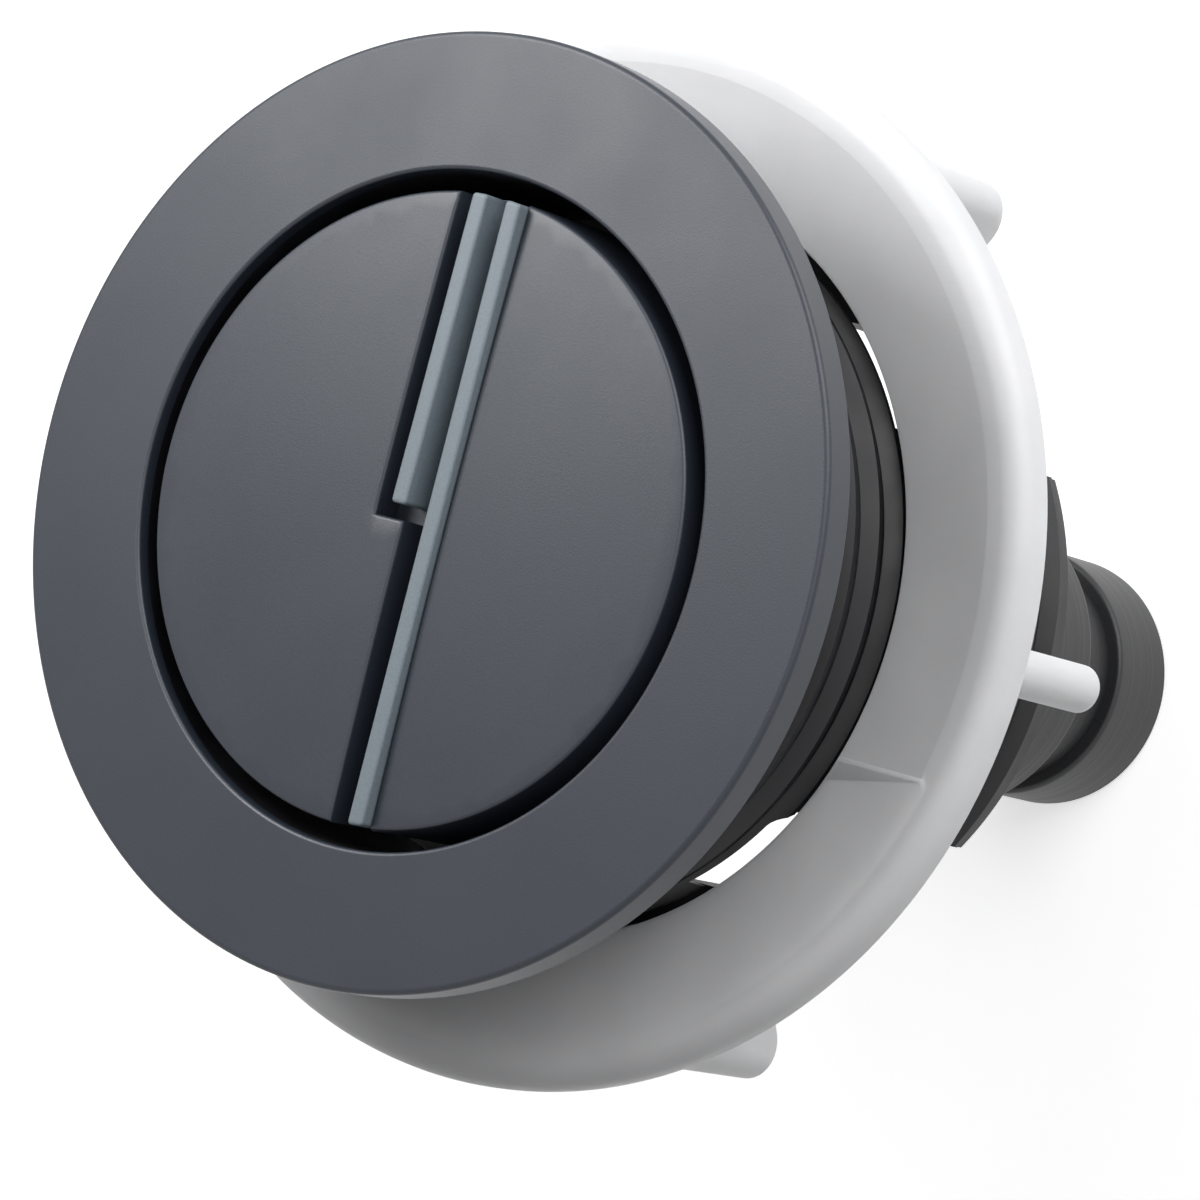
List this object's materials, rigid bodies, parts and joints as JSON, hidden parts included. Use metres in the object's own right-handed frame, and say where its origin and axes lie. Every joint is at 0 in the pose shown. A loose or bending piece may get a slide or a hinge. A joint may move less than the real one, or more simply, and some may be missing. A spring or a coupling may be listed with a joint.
{
  "type": "dual-flush cistern push button",
  "caption": "Round dual-flush push button for a cistern lid, with half-moon buttons, a threaded shank, a finned nut and a coaxial push tube.",
  "frame": {"origin": "on the axis of the shank, in the plane where the bezel's rim meets the cistern lid", "axes": "+Z out of the buttons' face, +Y along the seam towards the short marker bar, +X towards the full-flush button"},
  "size_m": [0.084, 0.084, 0.0998],
  "materials": {
    "satin_face": "fine satin",
    "pale_bar": "satin",
    "black_plastic": "moulded satin",
    "tube_plastic": "turned satin",
    "white_plastic": "moulded",
    "seal_rubber": "matt",
    "steel": "drawn wire"
  },
  "bodies": {
    "housing": {"bezel": "satin_face", "bezel_gasket": "seal_rubber", "shank_housing": "black_plastic", "guide_deck": "black_plastic", "deck_screws": "steel"},
    "nut": {"fixing_nut": "white_plastic"},
    "half_flush": {"half_flush_cap": "satin_face", "short_marker_bar": "pale_bar", "half_flush_carrier": "black_plastic", "push_sleeve": "tube_plastic", "sleeve_pins": "steel", "half_spring_front": "steel", "half_spring_rear": "steel"},
    "full_flush": {"full_flush_cap": "satin_face", "long_marker_bar": "pale_bar", "full_flush_carrier": "black_plastic", "push_rod": "tube_plastic", "rod_pin": "steel", "end_collar": "tube_plastic", "full_spring_front": "steel", "full_spring_rear": "steel"}
  },
  "joints": [
    {"name": "half_press", "type": "slide", "parent": "housing", "child": "half_flush", "axis": [0, 0, -1], "range_m": [0, 0.0065], "stiffness_N_per_m": 400, "springref_m": -0.004, "deforming": ["half_spring_front", "half_spring_rear"]},
    {"name": "full_press", "type": "slide", "parent": "housing", "child": "full_flush", "axis": [0, 0, -1], "range_m": [0, 0.0065], "stiffness_N_per_m": 400, "springref_m": -0.004, "deforming": ["full_spring_front", "full_spring_rear"]},
    {"name": "nut_turn", "type": "hinge", "parent": "housing", "child": "nut", "pos_m": [0, 0, -0.0229], "axis": [0, 0, 1], "continuous": true}
  ]
}
